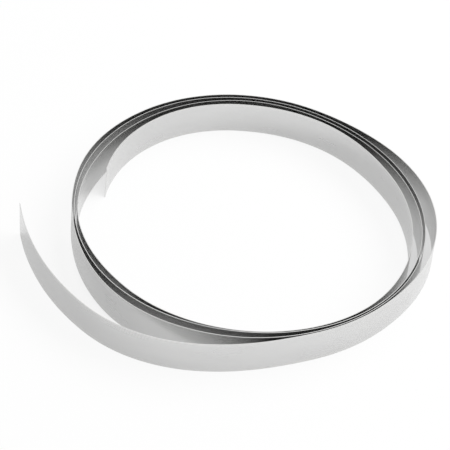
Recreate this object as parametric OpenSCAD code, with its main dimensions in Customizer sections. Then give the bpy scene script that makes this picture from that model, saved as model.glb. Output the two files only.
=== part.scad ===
// Nickel-plated strip: one length of thin strip, slit square on both sides and
// cut off a little aslant, left in a loose coil that stands on its edge.
// The inner end curls in, the turns lie close at the front right and part in places,
// and the outer end springs away from the coil at the left.
// The strip runs clockwise seen from above, from its inner end to its outer end.
// Directions are in degrees: 0 is right, 90 is back, 180 is left, -90 is front.

/* [Strip] */
// Width of the strip, the height of the standing coil
strip_w = 8; // [3:0.5:20]
// Thickness of the strip
strip_t = 0.15; // [0.1:0.01:0.25]
// Length along the strip that the slanted cut at each end takes up
slant_len = 1.2; // [0:0.1:3]

/* [Coil] */
// Radius of the innermost turn, before it goes out of round
coil_r = 37; // [25:0.5:80]
// Angle that the strip turns through from its inner to its outer end
coil_angle = 1418; // [1380:1:1440]
// Direction of the inner end, seen from the middle of the coil
start_dir = 164; // [150:1:180]
// Gap that each turn adds to the radius
turn_gap = 1; // [0.9:0.05:3]
// Part of that gap that moves from the tight side to the side across from it
swing_gap = 0.35; // [0.2:0.05:0.45]
// Direction of the tight side, where the turns lie closest
tight_dir = -17; // [-35:1:0]
// Distance that the inner turn has slid to the left
slide_len = 2; // [1:0.1:2.5]
// Angle along the strip after which it no longer lies off to the left
slide_angle = 285; // [260:5:360]

/* [Out of round] */
// Half of what the inner turn is longer than wide
oval_h = 1; // [0:0.1:1.5]
// Direction of the long way of the oval
oval_dir = -53; // [-65:1:-35]
// Height of the three faint corners that hand coiling leaves
corner_h = 0.4; // [0:0.05:0.5]
// Direction of the first corner
corner_dir = -11; // [-60:1:60]

/* [Loose places] */
// Height that the inner turn leans out, at the back right and at the left
lean_h = 0.75; // [0:0.05:0.8]
// Direction of the middle of the lean at the back right
back_lean_dir = 62; // [40:1:80]
// Direction of the middle of the lean at the left
left_lean_dir = -170; // [-178:1:-160]
// Angle from the middle of a lean to its ends
lean_angle = 36; // [30:1:50]
// Depth that the inner turn is tucked in at the right
tuck_h = 0.7; // [0:0.05:1]
// Direction of the middle of the tuck
tuck_dir = -10; // [-30:1:10]
// Angle from the middle of the tuck to its ends
tuck_angle = 47; // [30:1:60]
// Depth of the dent in the second turn at the back left
dent_h = 0.55; // [0:0.05:0.8]
// Direction of the middle of the dent
dent_dir = 134; // [120:1:150]
// Angle from the middle of the dent to its ends
dent_angle = 50; // [40:1:70]
// Depth that the second turn lies in at the front, close to the inner turn
hug_h = 0.55; // [0:0.05:0.6]
// Direction of the middle of that close place
hug_dir = -98; // [-110:1:-90]
// Angle from the middle of the close place to its ends
hug_angle = 52; // [40:1:60]
// Height that the third turn stands out at the front, where it parts from the second
split_h = 0.35; // [0:0.05:0.5]
// Direction of the middle of the split
split_dir = -110; // [-120:1:-100]
// Angle from the middle of the split to its ends
split_angle = 84; // [60:1:100]
// Depth that the third turn is pressed in at the left
press_h = 1.05; // [0:0.05:1.2]
// Direction of the middle of the pressed place
press_dir = -166; // [-175:1:-160]
// Angle from the middle of the pressed place to its ends
press_angle = 47; // [40:1:60]
// Height of the bulge of the outer turn at the right
bulge_h = 2; // [0:0.1:4]
// Direction of the middle of the bulge
bulge_dir = 13; // [0:1:30]
// Angle from the middle of the bulge to its ends
bulge_angle = 57; // [40:1:70]

/* [Ends] */
// Depth that the inner end curls in
curl_h = 4.3; // [3:0.1:6]
// Angle that the curl takes up
curl_angle = 115; // [90:5:150]
// Gap that opens between the outer end and the coil
tail_gap = 6; // [0:0.1:20]
// Angle along which that gap opens
tail_angle = 70; // [50:1:120]
// Angle from where the gap is fully open to the outer end
run_angle = 38; // [0:1:60]
// Height of the flare of the outer end
flare_h = 3; // [0:0.1:10]
// Angle that the flare takes up
flare_angle = 45; // [20:1:90]

/* [Hidden] */
nickel = [0.80, 0.80, 0.79];
// Angle from one point of the outline to the next
step = 3;
steps = ceil(coil_angle / step);
// Spare length that the cut takes off each end
spare = 0.5;

// Smooth rise from 0 to 1
function rise(s) = (1 - cos(180 * min(max(s, 0), 1))) / 2;

// Curve that starts level and bends up to 1
function bend(s) = pow(max(s, 0), 2);

// Share of a swell at angle a: 1 in the middle of the swell, 0 beyond its ends.
// Turns are counted from the inside
function swell(a, turn, dir, half) =
    let (mid = 360 * (turn - 1) + (start_dir - dir + 360) % 360)
    rise(1 - abs(a - mid) / half);

// Distance from the middle of the coil after the strip has turned through angle a
function reach(a, dir) =
    coil_r
    + a / 360 * (turn_gap - swing_gap * cos(dir - tight_dir))
    - slide_len * rise(1 - a / slide_angle) * cos(dir)
    + oval_h * (1 - a / coil_angle) * cos(2 * (dir - oval_dir))
    + corner_h * cos(3 * (dir - corner_dir))
    + lean_h * swell(a, 1, back_lean_dir, lean_angle)
    + lean_h * swell(a, 1, left_lean_dir, lean_angle)
    - tuck_h * swell(a, 1, tuck_dir, tuck_angle)
    - dent_h * swell(a, 2, dent_dir, dent_angle)
    - hug_h * swell(a, 2, hug_dir, hug_angle)
    + split_h * swell(a, 3, split_dir, split_angle)
    - press_h * swell(a, 3, press_dir, press_angle)
    + bulge_h * swell(a, 4, bulge_dir, bulge_angle)
    - curl_h * bend(1 - a / curl_angle)
    + tail_gap * rise(1 - (coil_angle - run_angle - a) / tail_angle)
    + flare_h * bend(1 - (coil_angle - a) / flare_angle);

// Point on the middle line of the strip
function mid_point(a) =
    let (dir = start_dir - a)
    reach(a, dir) * [cos(dir), sin(dir)];

// Unit vector along the strip, towards its outer end
function along(a) =
    let (d = mid_point(a + 0.5) - mid_point(a - 0.5))
    d / norm(d);

// Point at a distance off the middle line, away from the middle of the coil
function face_point(a, off) =
    let (t = along(a))
    mid_point(a) + off * [-t.y, t.x];

// Angle that a short length of strip takes up near angle a
function turn_of(length, a) = length / norm(mid_point(a)) * 180 / PI;

// Angles along the strip from its foremost to its last corner, and with the spare at both ends
first = -turn_of(slant_len / 2, 0);
last = coil_angle + turn_of(slant_len / 2, coil_angle);
run = [for (i = [0:steps]) first + i * (last - first) / steps];
spare_run = concat([first - turn_of(spare, 0)], run, [last + turn_of(spare, coil_angle)]);

// Middle of the coil's outline, which goes to the origin
outer = [for (a = run) face_point(a, strip_t / 2)];
low = [min([for (p = outer) p.x]), min([for (p = outer) p.y])];
high = [max([for (p = outer) p.x]), max([for (p = outer) p.y])];
centre = (low + high) / 2;

// Outline of the coil seen from above, both faces of the strip
module outline() {
    polygon(concat(
        [for (a = spare_run) face_point(a, -strip_t / 2)],
        [for (i = [len(spare_run) - 1:-1:0]) face_point(spare_run[i], strip_t / 2)]));
}

// What the slanted cut takes off at angle a, before it or after it
module end_cut(a, side) {
    t = along(a);
    over = side * (0.75 * slant_len + 2 * spare);
    translate(mid_point(a))
        rotate([90, 0, atan2(t.y, t.x)])
            linear_extrude(height = 4 * strip_t, center = true)
                polygon([
                    [-0.75 * slant_len, -0.25 * strip_w],
                    [0.75 * slant_len, 1.25 * strip_w],
                    [over, 1.25 * strip_w],
                    [over, -0.25 * strip_w]]);
}

// The whole strip, one square-edged section along the coil
module nickel_strip() {
    color(nickel)
        translate(-centre)
            difference() {
                linear_extrude(height = strip_w) outline();
                end_cut(0, -1);
                end_cut(coil_angle, 1);
            }
}

nickel_strip();
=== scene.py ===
"""Nickel-plated strip: a loose coil of thin strip that stands on its edge on a pale floor."""

import math

import bpy
import numpy as np
from mathutils import Matrix, Vector


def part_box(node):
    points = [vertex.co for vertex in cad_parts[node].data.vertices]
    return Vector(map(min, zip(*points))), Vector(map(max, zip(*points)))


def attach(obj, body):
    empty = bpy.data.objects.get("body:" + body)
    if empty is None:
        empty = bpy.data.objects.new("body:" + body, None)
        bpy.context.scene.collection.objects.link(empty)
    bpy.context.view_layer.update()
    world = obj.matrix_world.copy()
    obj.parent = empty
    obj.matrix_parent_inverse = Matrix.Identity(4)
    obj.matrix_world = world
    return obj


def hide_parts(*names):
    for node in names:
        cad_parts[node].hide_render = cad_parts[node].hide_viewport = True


bl_info = {
    "name": "Nickel-Plated Strip",
    "version": (1, 0, 0),
    "blender": (4, 5, 0),
    "location": "View3D > Sidebar > Strip",
    "description": "Builds a loose coil of nickel-plated strip and the stage that it stands on",
    "category": "Add Mesh",
}

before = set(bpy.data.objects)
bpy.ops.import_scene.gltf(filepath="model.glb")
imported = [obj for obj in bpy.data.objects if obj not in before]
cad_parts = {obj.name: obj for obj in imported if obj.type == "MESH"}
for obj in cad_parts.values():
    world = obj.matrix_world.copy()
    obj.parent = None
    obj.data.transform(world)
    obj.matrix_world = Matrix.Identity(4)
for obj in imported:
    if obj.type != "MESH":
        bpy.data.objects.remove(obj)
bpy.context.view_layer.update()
STRIP_LOW, STRIP_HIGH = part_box("nickel_strip")

MM = 0.001
FULL_TURN = 2 * math.pi
UV_NAME = "strip_run"
EDGE_NAME = "slit_edge"

# Half of the angle over which the strip's direction is measured
HALF_PROBE = math.radians(0.5)
# Points round each corner of the section, and heights of the face rows as shares of the width
CORNER_POINTS = 5
FACE_ROWS = (0.1, 0.275, 0.5, 0.725, 0.9)
# Faint waves along the strip: share of the height, waves per turn and start
WAVES = ((0.5, 9.0, 0.7), (0.3, 17.3, 2.1), (0.2, 29.7, 0.0))
# How steeply the cross bow rises towards the edges
BOW_POWER = 4

# Texture scales along the run, up the strip and through it, per metre
GRAIN_SCALE = (40.0, 1500.0, 1.0)
PATCH_SCALE = (70.0, 220.0, 1.0)
SPECK_SCALE = (150.0, 150.0, 1.0)
GRAIN_DETAIL = 1.0
PATCH_DETAIL = 2.0
# Noise between which a patch goes from bright to dull
PATCH_RANGE = (0.35, 0.65)
# Cell distance between which a speck fades out, cells that have one, and its strength
SPECK_RANGE = (0.010, 0.022)
SPECK_CELLS = (0.70, 0.71)
SPECK_SHARE = 0.7
# Share of bare metal on the slit edges
BARE_SHARE = 0.8
# Dullness and grain together, between which the roughness goes from low to high
ROUGH_RANGE = (0.3, 1.7)
# Depth of the grain
GRAIN_DEPTH = 0.01 * MM

# The floor's radius, rings, spokes and the hair by which it lies below the strip
FLOOR_RADIUS = 4.0
FLOOR_RINGS = 10
FLOOR_SPOKES = 64
FLOOR_DROP = 0.02 * MM
# Rays that test how closed a gap is
GAP_SAMPLES = 8
# Heights in the sky between which its mirror image goes over to the ceiling
CEILING_RANGE = (0.5, 0.9)
WHITE = (1.0, 1.0, 1.0, 1.0)
SENSOR_WIDTH = 36.0
CLIP_NEAR = 0.01
CLIP_FAR = 50.0


# Property helpers


def length_prop(name, text, millimetres):
    """A length that a user can change, given in millimetres."""
    return bpy.props.FloatProperty(
        name=name,
        description=text,
        default=millimetres * MM,
        unit="LENGTH",
        subtype="DISTANCE",
        precision=5,
    )


def angle_prop(name, text, degrees):
    """An angle that a user can change, given in degrees."""
    return bpy.props.FloatProperty(
        name=name,
        description=text,
        default=math.radians(degrees),
        unit="ROTATION",
        subtype="ANGLE",
    )


def share_prop(name, text, value):
    """A share from 0 to 1 that a user can change."""
    return bpy.props.FloatProperty(
        name=name,
        description=text,
        default=value,
        min=0.0,
        max=1.0,
        subtype="FACTOR",
    )


def colour_prop(name, text, value):
    """A colour that a user can change."""
    return bpy.props.FloatVectorProperty(
        name=name,
        description=text,
        default=value,
        size=3,
        min=0.0,
        max=1.0,
        subtype="COLOR",
    )


def plain_prop(name, text, value):
    """A bare number that a user can change."""
    return bpy.props.FloatProperty(name=name, description=text, default=value)


# Sizes, finish and stage that a user can change


class StripSizes(bpy.types.PropertyGroup):
    """Sizes of the strip and of the coil that it lies in."""

    strip_w: bpy.props.FloatProperty(
        name="Strip width",
        description="Width of the strip, the height of the standing coil",
        default=STRIP_HIGH.z - STRIP_LOW.z,
        unit="LENGTH",
        subtype="DISTANCE",
    )
    strip_t: length_prop("Strip thickness", "Thickness of the strip", 0.15)
    slant_len: length_prop("End slant", "Length that each slanted end cut takes up", 1.2)
    round_h: length_prop("Rolled corner", "Radius of the corner that the slitting rolls over", 0.06)
    burr_h: length_prop("Burr corner", "Radius of the corner on the burr side", 0.025)
    bow_h: length_prop("Cross bow", "Height that the edges bow out from the middle", 0.012)
    wave_h: length_prop("Wave", "Height of the faint waves that hand coiling leaves", 0.02)
    coil_r: length_prop("Coil radius", "Radius of the innermost turn", 37.0)
    coil_angle: angle_prop("Coil angle", "Angle from the inner to the outer end", 1418.0)
    start_dir: angle_prop("Start", "Direction of the inner end from the middle", 164.0)
    turn_gap: length_prop("Turn gap", "Gap that each turn adds to the radius", 1.0)
    swing_gap: length_prop("Gap swing", "Part of the gap that moves off the tight side", 0.35)
    tight_dir: angle_prop("Tight side", "Direction where the turns lie closest", -17.0)
    slide_len: length_prop("Slide", "Distance that the inner turn has slid to the left", 2.0)
    slide_angle: angle_prop("Slide run", "Angle after which the slide has gone", 285.0)
    oval_h: length_prop("Oval", "Half of what the inner turn is longer than wide", 1.0)
    oval_dir: angle_prop("Oval direction", "Direction of the long way of the oval", -53.0)
    corner_h: length_prop("Corners", "Height of the three faint corners", 0.4)
    corner_dir: angle_prop("Corner direction", "Direction of the first corner", -11.0)
    lean_h: length_prop("Lean", "Height that the inner turn leans out, in two places", 0.75)
    back_lean_dir: angle_prop("Back lean", "Direction of the lean at the back right", 62.0)
    left_lean_dir: angle_prop("Left lean", "Direction of the lean at the left", -170.0)
    lean_angle: angle_prop("Lean run", "Angle from the middle of a lean to its end", 36.0)
    tuck_h: length_prop("Tuck", "Depth that the inner turn is tucked in at the right", 0.7)
    tuck_dir: angle_prop("Tuck direction", "Direction of the middle of the tuck", -10.0)
    tuck_angle: angle_prop("Tuck run", "Angle from the middle of the tuck to its end", 47.0)
    dent_h: length_prop("Dent", "Depth of the dent in the second turn", 0.55)
    dent_dir: angle_prop("Dent direction", "Direction of the middle of the dent", 134.0)
    dent_angle: angle_prop("Dent run", "Angle from the middle of the dent to its end", 50.0)
    hug_h: length_prop("Hug", "Depth that the second turn lies in at the front", 0.55)
    hug_dir: angle_prop("Hug direction", "Direction of the middle of the hug", -98.0)
    hug_angle: angle_prop("Hug run", "Angle from the middle of the hug to its end", 52.0)
    split_h: length_prop("Split", "Height that the third turn stands out at the front", 0.35)
    split_dir: angle_prop("Split direction", "Direction of the middle of the split", -110.0)
    split_angle: angle_prop("Split run", "Angle from the middle of the split to its end", 84.0)
    press_h: length_prop("Press", "Depth that the third turn is pressed in", 1.05)
    press_dir: angle_prop("Press direction", "Direction of the middle of that place", -166.0)
    press_angle: angle_prop("Press run", "Angle from its middle to its end", 47.0)
    bulge_h: length_prop("Bulge", "Height of the bulge of the outer turn", 2.0)
    bulge_dir: angle_prop("Bulge direction", "Direction of the middle of the bulge", 13.0)
    bulge_angle: angle_prop("Bulge run", "Angle from the middle of the bulge to its end", 57.0)
    curl_h: length_prop("Inner curl", "Depth that the inner end curls in", 4.3)
    curl_angle: angle_prop("Inner curl run", "Angle that the curl takes up", 115.0)
    tail_gap: length_prop("Tail gap", "Gap between the outer end and the coil", 6.0)
    tail_angle: angle_prop("Tail opening", "Angle along which that gap opens", 70.0)
    run_angle: angle_prop("Tail run", "Angle from the open gap to the outer end", 38.0)
    flare_h: length_prop("Flare", "Height of the flare of the outer end", 3.0)
    flare_angle: angle_prop("Flare run", "Angle that the flare takes up", 45.0)
    step_angle: angle_prop("Step", "Angle from one ring of points to the next", 0.8)


class NickelFinish(bpy.types.PropertyGroup):
    """Colour and surface of the plating."""

    nickel: colour_prop("Nickel", "Colour of the plating", (0.72, 0.72, 0.717))
    haze: colour_prop("Haze", "Colour of the duller patches of the plating", (0.70, 0.70, 0.697))
    bare: colour_prop("Bare edge", "Colour of the slit edges", (0.75, 0.75, 0.74))
    speck: colour_prop("Speck", "Colour of the specks", (0.22, 0.21, 0.20))
    gloss_low: share_prop("Roughness, low", "Roughness where the plating is smoothest", 0.22)
    gloss_high: share_prop("Roughness, high", "Roughness where the plating is dullest", 0.28)
    edge_rough: share_prop("Edge roughness", "Roughness of the slit edges", 0.42)
    stretch: share_prop("Stretch", "How far the grain stretches the gloss", 0.35)
    grain_bump: share_prop("Grain bump", "Strength of the grain in the surface", 0.10)


class StageSettings(bpy.types.PropertyGroup):
    """Camera, floor and light."""

    aim_x: length_prop("Aim, right", "Point that the camera looks at, to the right", -0.706)
    aim_y: length_prop("Aim, back", "Point that the camera looks at, to the back", 4.422)
    view_dist: length_prop("Distance", "Distance from the camera to that point", 480.0)
    view_up: angle_prop("Elevation", "Height of the camera above the floor", 42.0)
    view_roll: angle_prop("Roll", "Turn of the camera about its view", 5.5)
    lens: plain_prop("Lens", "Focal length in millimetres on a sensor 36 wide", 170.32)
    floor: colour_prop("Floor", "Colour of the floor", (0.86, 0.86, 0.86))
    white_seen: share_prop("White, seen", "Share of plain white in the floor as seen", 0.90)
    white_mirror: share_prop("White, mirrored", "Share of plain white in the mirrored floor", 0.47)
    # Occlusion that cuts back the floor's plain white in closed gaps: painted shade between the
    # turns
    gap_reach: length_prop("Gap reach", "Distance within which walls shade the floor", 12.0)
    gap_dark: share_prop("Gap, closed", "Share of open sky that counts as a closed gap", 0.05)
    gap_open: share_prop("Gap, open", "Share of open sky that counts as open floor", 0.50)
    white_gap: share_prop("White, gap", "Share of plain white in the floor of a closed gap", 0.50)
    sky: plain_prop("Sky", "Strength of the light from all around", 0.5)
    sky_mirror: plain_prop("Sky, mirrored", "Strength of the sky as the strip mirrors it", 0.8)
    top_mirror: plain_prop("Ceiling, mirrored", "Strength of the light overhead as mirrored", 1.3)
    key_power: plain_prop("Key light", "Power of the key light in watts", 10.8)
    key_wide: length_prop("Key width", "Width of the key light", 1600.0)
    key_high: length_prop("Key height", "Height of the key light", 600.0)
    key_dist: length_prop("Key distance", "Distance of the key light", 900.0)
    key_dir: angle_prop("Key direction", "Where the light is: 0 is right, 90 is back", 28.0)
    key_up: angle_prop("Key elevation", "Height of the key light above the floor", 43.0)


# Shape of the coil


def rise(s):
    """Smooth rise from 0 to 1."""
    return (1 - np.cos(np.pi * np.clip(s, 0, 1))) / 2


def bend(s):
    """Curve that starts level and bends up to 1."""
    return np.maximum(s, 0) ** 2


def swell(p, a, turn, way, half):
    """Share of a swell at angle a, 1 in its middle and 0 beyond its ends.

    Turns are counted from the inside.
    """
    mid = FULL_TURN * (turn - 1) + (p.start_dir - way) % FULL_TURN
    return rise(1 - np.abs(a - mid) / half)


def reach(p, a):
    """Distance from the middle of the coil after the strip has turned through angle a."""
    way = p.start_dir - a
    left = p.coil_angle - a
    return (
        p.coil_r
        + a / FULL_TURN * (p.turn_gap - p.swing_gap * np.cos(way - p.tight_dir))
        - p.slide_len * rise(1 - a / p.slide_angle) * np.cos(way)
        + p.oval_h * (1 - a / p.coil_angle) * np.cos(2 * (way - p.oval_dir))
        + p.corner_h * np.cos(3 * (way - p.corner_dir))
        + p.lean_h * swell(p, a, 1, p.back_lean_dir, p.lean_angle)
        + p.lean_h * swell(p, a, 1, p.left_lean_dir, p.lean_angle)
        - p.tuck_h * swell(p, a, 1, p.tuck_dir, p.tuck_angle)
        - p.dent_h * swell(p, a, 2, p.dent_dir, p.dent_angle)
        - p.hug_h * swell(p, a, 2, p.hug_dir, p.hug_angle)
        + p.split_h * swell(p, a, 3, p.split_dir, p.split_angle)
        - p.press_h * swell(p, a, 3, p.press_dir, p.press_angle)
        + p.bulge_h * swell(p, a, 4, p.bulge_dir, p.bulge_angle)
        - p.curl_h * bend(1 - a / p.curl_angle)
        + p.tail_gap * rise(1 - (left - p.run_angle) / p.tail_angle)
        + p.flare_h * bend(1 - left / p.flare_angle)
    )


def mid_point(p, a):
    """Points on the middle line of the strip, seen from above."""
    way = p.start_dir - a
    r = reach(p, a)
    return np.stack([r * np.cos(way), r * np.sin(way)], axis=-1)


def along(p, a):
    """Unit vectors along the strip, towards its outer end."""
    d = mid_point(p, a + HALF_PROBE) - mid_point(p, a - HALF_PROBE)
    return d / np.linalg.norm(d, axis=-1, keepdims=True)


def turn_of(p, length, a):
    """Angle that a short length of strip takes up near angle a."""
    return length / float(np.linalg.norm(mid_point(p, np.array(a))))


def section(p):
    """Outline of the strip's section, anticlockwise.

    Each row holds the offset outward, the height, the normal and the edge share.
    """
    half = p.strip_t / 2
    corners = (
        (half, 0.0, p.burr_h, -90.0),
        (half, p.strip_w, p.round_h, 0.0),
        (-half, p.strip_w, p.burr_h, 90.0),
        (-half, 0.0, p.round_h, 180.0),
    )
    arc = np.radians(np.linspace(0.0, 90.0, CORNER_POINTS))
    rows = []
    for off, z, radius, start in corners:
        side = math.copysign(1.0, off)
        lift = 1.0 if z == 0.0 else -1.0
        middle = (off - side * radius, z + lift * radius)
        for t in arc + math.radians(start):
            n = (math.cos(t), math.sin(t))
            rows.append((middle[0] + radius * n[0], middle[1] + radius * n[1], *n, 1.0))
        if start in (-90.0, 90.0):
            heights = [share * p.strip_w for share in FACE_ROWS]
            if start == 90.0:
                heights = heights[::-1]
            rows.extend((off, h, side, 0.0, 0.0) for h in heights)
    return np.array(rows)


def strip_mesh(p):
    """Mesh of the whole strip: smooth faces, crisp ends, a map along its run, marked edges."""
    ring = section(p)
    count = len(ring)
    steps = math.ceil(p.coil_angle / p.step_angle)
    lean = ring[:, 1] / p.strip_w - 0.5
    first = lean * turn_of(p, p.slant_len, 0.0)
    last = p.coil_angle + lean * turn_of(p, p.slant_len, p.coil_angle)
    share = np.linspace(0.0, 1.0, steps + 1)[:, None]
    a = first + share * (last - first)
    t = along(p, a)
    out = np.stack([-t[..., 1], t[..., 0]], axis=-1)
    mid = mid_point(p, a)
    wave = p.wave_h * sum(part * np.sin(pace * a + start) for part, pace, start in WAVES)
    bow = p.bow_h * (2 * lean) ** BOW_POWER
    off = ring[:, 0] + bow + wave
    flat = mid + off[..., None] * out
    high = np.broadcast_to(ring[:, 1], a.shape)[..., None]
    points = np.concatenate([flat, high], axis=-1)
    outer = flat.reshape(-1, 2)
    points[..., :2] -= (outer.min(0) + outer.max(0)) / 2
    normals = np.concatenate(
        [out * ring[:, 2][None, :, None], np.broadcast_to(ring[:, 3], a.shape)[..., None]], axis=-1
    )

    i = np.arange(steps)[:, None]
    j = np.arange(count)[None, :]
    k = (j + 1) % count
    quads = np.stack(
        [i * count + j, i * count + k, (i + 1) * count + k, (i + 1) * count + j], axis=-1
    ).reshape(-1, 4)
    cap_in = list(range(count - 1, -1, -1))
    cap_out = [steps * count + n for n in range(count)]

    mesh = bpy.data.meshes.new("nickel_strip_run")
    mesh.from_pydata(points.reshape(-1, 3).tolist(), [], quads.tolist() + [cap_in, cap_out])
    mesh.validate()
    mesh.polygons.foreach_set("use_smooth", np.ones(len(mesh.polygons), bool))

    gaps = np.linalg.norm(np.diff(mid[:, count // 2], axis=0), axis=-1)
    run = np.concatenate([[0.0], np.cumsum(gaps)])
    hop = np.linalg.norm(np.diff(np.vstack([ring[:, :2], ring[:1, :2]]), axis=0), axis=-1)
    climb = np.concatenate([[0.0], np.cumsum(hop)])
    u = np.stack([run[i], run[i], run[i + 1], run[i + 1]], axis=-1)
    v = np.stack([climb[j], climb[j + 1], climb[j + 1], climb[j]], axis=-1)
    u = np.broadcast_to(u, (steps, count, 4)).reshape(-1)
    v = np.broadcast_to(v, (steps, count, 4)).reshape(-1)
    cap_u = np.concatenate([np.full(count, run[0]), np.full(count, run[-1])])
    cap_v = np.concatenate([climb[:-1][::-1], climb[:-1]])
    layer = mesh.uv_layers.new(name=UV_NAME)
    uv = np.stack([np.concatenate([u, cap_u]), np.concatenate([v, cap_v])], axis=-1)
    layer.uv.foreach_set("vector", uv.astype(np.float32).reshape(-1))

    edge = mesh.attributes.new(EDGE_NAME, "FLOAT", "POINT")
    marks = np.broadcast_to(ring[:, 4], a.shape).reshape(-1)
    edge.data.foreach_set("value", marks.astype(np.float32))

    flat_normals = normals.reshape(-1, 3)
    end_in = np.append(-t[0].mean(0), 0.0)
    end_out = np.append(t[-1].mean(0), 0.0)
    corner_normals = np.vstack(
        [flat_normals[quads.reshape(-1)], np.tile(end_in, (count, 1)), np.tile(end_out, (count, 1))]
    )
    mesh.normals_split_custom_set(corner_normals.tolist())
    return mesh


# Node helpers


def link(tree, out_socket, in_socket):
    """Joins one node's output to another's input."""
    tree.links.new(out_socket, in_socket)


def add(tree, kind, **values):
    """A new node with its settings."""
    node = tree.nodes.new(kind)
    for name, value in values.items():
        setattr(node, name, value)
    return node


def stretched(tree, source, scale):
    """The strip's run and height, scaled apart, as a texture place."""
    node = add(tree, "ShaderNodeMapping")
    node.inputs["Scale"].default_value = scale
    link(tree, source, node.inputs["Vector"])
    return node.outputs["Vector"]


def noise(tree, place, detail):
    """Soft noise at a place."""
    node = add(tree, "ShaderNodeTexNoise")
    node.inputs["Scale"].default_value = 1.0
    node.inputs["Detail"].default_value = detail
    link(tree, place, node.inputs["Vector"])
    return node.outputs["Fac"]


def remap(tree, source, low, high, to_low, to_high):
    """A value moved from one range to another, held at its ends."""
    node = add(tree, "ShaderNodeMapRange", clamp=True)
    node.inputs["From Min"].default_value = low
    node.inputs["From Max"].default_value = high
    node.inputs["To Min"].default_value = to_low
    node.inputs["To Max"].default_value = to_high
    link(tree, source, node.inputs["Value"])
    return node.outputs["Result"]


def math_node(tree, operation, first, second):
    """Two values, sockets or numbers, put together."""
    node = add(tree, "ShaderNodeMath", operation=operation)
    for socket, value in zip(node.inputs, (first, second)):
        if isinstance(value, bpy.types.NodeSocket):
            link(tree, value, socket)
        else:
            socket.default_value = value
    return node.outputs["Value"]


def mix_colour(tree, share, first, second):
    """Two colours, sockets or values, mixed by a share."""
    node = add(tree, "ShaderNodeMix", data_type="RGBA")
    link(tree, share, node.inputs[0])
    for socket, value in ((node.inputs[6], first), (node.inputs[7], second)):
        if isinstance(value, bpy.types.NodeSocket):
            link(tree, value, socket)
        else:
            socket.default_value = (*value, 1.0)
    return node.outputs[2]


# Nickel plating


def nickel_plating(f):
    """Bright nickel over rolled strip: grain along the run, dull patches, specks, barer edges."""
    material = bpy.data.materials.new("nickel_plating")
    material.use_nodes = True
    tree = material.node_tree
    tree.nodes.clear()
    out = add(tree, "ShaderNodeOutputMaterial")
    skin = add(tree, "ShaderNodeBsdfPrincipled")
    link(tree, skin.outputs["BSDF"], out.inputs["Surface"])
    skin.inputs["Metallic"].default_value = 1.0
    skin.inputs["Anisotropic"].default_value = f.stretch
    place = add(tree, "ShaderNodeUVMap", uv_map=UV_NAME).outputs["UV"]

    grain = noise(tree, stretched(tree, place, GRAIN_SCALE), GRAIN_DETAIL)
    patch = noise(tree, stretched(tree, place, PATCH_SCALE), PATCH_DETAIL)

    cells = add(tree, "ShaderNodeTexVoronoi", feature="F1", distance="EUCLIDEAN")
    cells.inputs["Scale"].default_value = 1.0
    link(tree, stretched(tree, place, SPECK_SCALE), cells.inputs["Vector"])
    near = remap(tree, cells.outputs["Distance"], *SPECK_RANGE, 1.0, 0.0)
    tone = add(tree, "ShaderNodeSeparateColor")
    link(tree, cells.outputs["Color"], tone.inputs["Color"])
    chosen = remap(tree, tone.outputs["Red"], *SPECK_CELLS, 0.0, 1.0)
    speck = math_node(tree, "MULTIPLY", math_node(tree, "MULTIPLY", near, chosen), SPECK_SHARE)

    edge = add(tree, "ShaderNodeAttribute", attribute_name=EDGE_NAME).outputs["Fac"]
    dull = remap(tree, patch, *PATCH_RANGE, 0.0, 1.0)
    colour = mix_colour(tree, dull, f.nickel, f.haze)
    colour = mix_colour(tree, math_node(tree, "MULTIPLY", edge, BARE_SHARE), colour, f.bare)
    colour = mix_colour(tree, speck, colour, f.speck)
    link(tree, colour, skin.inputs["Base Color"])

    uneven = math_node(tree, "ADD", dull, grain)
    rough = remap(tree, uneven, *ROUGH_RANGE, f.gloss_low, f.gloss_high)
    worn = math_node(tree, "MULTIPLY", edge, f.edge_rough)
    rough = math_node(tree, "MAXIMUM", rough, worn)
    link(tree, rough, skin.inputs["Roughness"])

    bump = add(tree, "ShaderNodeBump")
    bump.inputs["Strength"].default_value = f.grain_bump
    bump.inputs["Distance"].default_value = GRAIN_DEPTH
    link(tree, grain, bump.inputs["Height"])
    link(tree, bump.outputs["Normal"], skin.inputs["Normal"])
    run = add(tree, "ShaderNodeTangent", direction_type="UV_MAP", uv_map=UV_NAME)
    link(tree, run.outputs["Tangent"], skin.inputs["Tangent"])
    return material


# Stage


def white_share(tree, seen, mirrored):
    """Share of plain white by the kind of ray: seen, mirrored or through glass."""
    path = add(tree, "ShaderNodeLightPath")
    camera = math_node(tree, "MULTIPLY", path.outputs["Is Camera Ray"], seen)
    glossy = math_node(tree, "MULTIPLY", path.outputs["Is Glossy Ray"], mirrored)
    through = math_node(tree, "MULTIPLY", path.outputs["Is Transmission Ray"], seen)
    return math_node(tree, "MAXIMUM", math_node(tree, "MAXIMUM", camera, glossy), through)


def floor_paper(s):
    """Pale matt paper that reads as white and keeps a faint shadow."""
    material = bpy.data.materials.new("floor_paper")
    material.use_nodes = True
    tree = material.node_tree
    tree.nodes.clear()
    out = add(tree, "ShaderNodeOutputMaterial")
    matt = add(tree, "ShaderNodeBsdfDiffuse")
    matt.inputs["Color"].default_value = (*s.floor, 1.0)
    plain = add(tree, "ShaderNodeEmission")
    plain.inputs["Color"].default_value = WHITE
    plain.inputs["Strength"].default_value = 1.0
    # The floor's plain white is cut back where walls close it in, so narrow gaps show painted shade
    # on top of the floor's own lit shade
    gap = add(tree, "ShaderNodeAmbientOcclusion", samples=GAP_SAMPLES)
    gap.inputs["Distance"].default_value = s.gap_reach
    seen = remap(tree, gap.outputs["AO"], s.gap_dark, s.gap_open, s.white_gap, s.white_seen)
    both = add(tree, "ShaderNodeMixShader")
    link(tree, white_share(tree, seen, s.white_mirror), both.inputs["Fac"])
    link(tree, matt.outputs["BSDF"], both.inputs[1])
    link(tree, plain.outputs["Emission"], both.inputs[2])
    link(tree, both.outputs["Shader"], out.inputs["Surface"])
    return material


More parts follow.
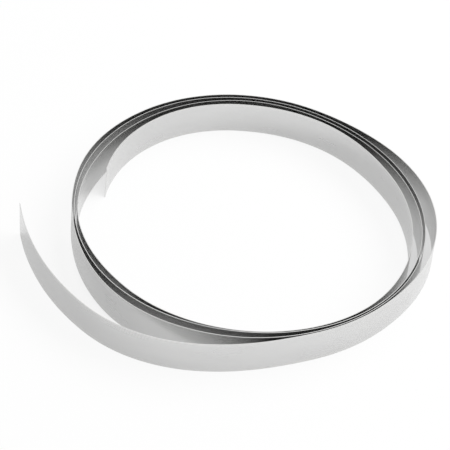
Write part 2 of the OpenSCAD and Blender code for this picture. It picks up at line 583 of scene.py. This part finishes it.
def round_floor():
    """A wide round floor a hair below the strip's lower edge."""
    points = [(0.0, 0.0, -FLOOR_DROP)]
    for n in range(1, FLOOR_RINGS + 1):
        r = FLOOR_RADIUS * (n / FLOOR_RINGS) ** 2
        for m in range(FLOOR_SPOKES):
            t = FULL_TURN * m / FLOOR_SPOKES
            points.append((r * math.cos(t), r * math.sin(t), -FLOOR_DROP))
    faces = [(0, 1 + m, 1 + (m + 1) % FLOOR_SPOKES) for m in range(FLOOR_SPOKES)]
    for n in range(1, FLOOR_RINGS):
        near = 1 + (n - 1) * FLOOR_SPOKES
        far = near + FLOOR_SPOKES
        for m in range(FLOOR_SPOKES):
            k = (m + 1) % FLOOR_SPOKES
            faces.append((near + m, far + m, far + k, near + k))
    mesh = bpy.data.meshes.new("pale_floor")
    mesh.from_pydata(points, [], faces)
    mesh.validate()
    return mesh


def white_world(s):
    """Even white light all around, plain white where seen, brighter overhead where mirrored."""
    world = bpy.data.worlds.new("white_room")
    world.use_nodes = True
    tree = world.node_tree
    tree.nodes.clear()
    out = add(tree, "ShaderNodeOutputWorld")
    sky = add(tree, "ShaderNodeBackground")
    sky.inputs["Color"].default_value = WHITE
    height = add(tree, "ShaderNodeSeparateXYZ")
    link(tree, add(tree, "ShaderNodeTexCoord").outputs["Generated"], height.inputs["Vector"])
    mirrored = remap(tree, height.outputs["Z"], *CEILING_RANGE, s.sky_mirror, s.top_mirror)
    seen = white_share(tree, 1.0, mirrored)
    link(tree, math_node(tree, "MAXIMUM", seen, s.sky), sky.inputs["Strength"])
    link(tree, sky.outputs["Background"], out.inputs["Surface"])
    return world


def toward(direction, elevation):
    """Unit vector to a direction and a height above the floor."""
    level = math.cos(elevation)
    return Vector((level * math.cos(direction), level * math.sin(direction), math.sin(elevation)))


def put(name, data):
    """A new object of that data in the scene."""
    thing = bpy.data.objects.new(name, data)
    bpy.context.scene.collection.objects.link(thing)
    return thing


def key_light(s):
    """A wide soft lamp that lights the floor and is not itself mirrored."""
    lamp = bpy.data.lights.new("key_light", "AREA")
    lamp.shape = "ELLIPSE"
    lamp.size = s.key_wide
    lamp.size_y = s.key_high
    lamp.energy = s.key_power
    key = put("key_light", lamp)
    key.visible_glossy = False
    way = toward(s.key_dir, s.key_up)
    turn = way.to_track_quat("Z", "Y").to_matrix().to_4x4()
    key.matrix_world = Matrix.Translation(way * s.key_dist) @ turn


def photo_view(s):
    """The camera at the photograph's viewing angle, rolled a little."""
    view = bpy.data.cameras.new("photo_view")
    view.lens = s.lens
    view.sensor_width = SENSOR_WIDTH
    view.clip_start = CLIP_NEAR
    view.clip_end = CLIP_FAR
    camera = put("photo_view", view)
    aim = Vector((s.aim_x, s.aim_y, 0.0))
    back = toward(-math.pi / 2, s.view_up)
    right = Vector((1.0, 0.0, 0.0))
    up = back.cross(right)
    side = math.cos(s.view_roll) * right + math.sin(s.view_roll) * up
    top = math.cos(s.view_roll) * up - math.sin(s.view_roll) * right
    turn = Matrix((side, top, back)).transposed().to_4x4()
    camera.matrix_world = Matrix.Translation(aim + back * s.view_dist) @ turn
    return camera


# Operators


class STRIP_OT_make_strip(bpy.types.Operator):
    """Build the nickel-plated strip in its loose coil"""

    bl_idname = "nickel_strip.make_strip"
    bl_label = "Make strip"

    def execute(self, context):
        mesh = strip_mesh(context.scene.strip_sizes)
        mesh.materials.append(nickel_plating(context.scene.nickel_finish))
        strip = put("strip", mesh)
        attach(strip, "root")
        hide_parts("nickel_strip")
        return {"FINISHED"}


class STRIP_OT_make_stage(bpy.types.Operator):
    """Build the floor, the light and the camera"""

    bl_idname = "nickel_strip.make_stage"
    bl_label = "Make stage"

    def execute(self, context):
        s = context.scene.strip_stage
        floor = put("pale_floor", round_floor())
        floor.data.materials.append(floor_paper(s))
        context.scene.world = white_world(s)
        context.scene.view_settings.view_transform = "Standard"
        key_light(s)
        context.scene.camera = photo_view(s)
        return {"FINISHED"}


# Panel


class STRIP_PT_panel(bpy.types.Panel):
    """Lists the pieces of the nickel-plated strip"""

    bl_idname = "STRIP_PT_panel"
    bl_label = "Nickel-plated strip"
    bl_space_type = "VIEW_3D"
    bl_region_type = "UI"
    bl_category = "Strip"

    def draw(self, context):
        layout = self.layout
        for group, operator in (
            ((context.scene.strip_sizes, context.scene.nickel_finish), "nickel_strip.make_strip"),
            ((context.scene.strip_stage,), "nickel_strip.make_stage"),
        ):
            box = layout.box()
            for settings in group:
                for name in settings.__annotations__:
                    box.prop(settings, name)
            box.operator(operator)


CLASSES = (
    StripSizes,
    NickelFinish,
    StageSettings,
    STRIP_OT_make_strip,
    STRIP_OT_make_stage,
    STRIP_PT_panel,
)


def register():
    """Adds the classes and their settings to Blender."""
    for item in CLASSES:
        bpy.utils.register_class(item)
    bpy.types.Scene.strip_sizes = bpy.props.PointerProperty(type=StripSizes)
    bpy.types.Scene.nickel_finish = bpy.props.PointerProperty(type=NickelFinish)
    bpy.types.Scene.strip_stage = bpy.props.PointerProperty(type=StageSettings)


def unregister():
    """Takes the settings and the classes out again."""
    del bpy.types.Scene.strip_stage
    del bpy.types.Scene.nickel_finish
    del bpy.types.Scene.strip_sizes
    for item in reversed(CLASSES):
        bpy.utils.unregister_class(item)


def main():
    """Builds everything."""
    register()
    bpy.ops.nickel_strip.make_strip()
    bpy.ops.nickel_strip.make_stage()


if __name__ == "__main__":
    main()
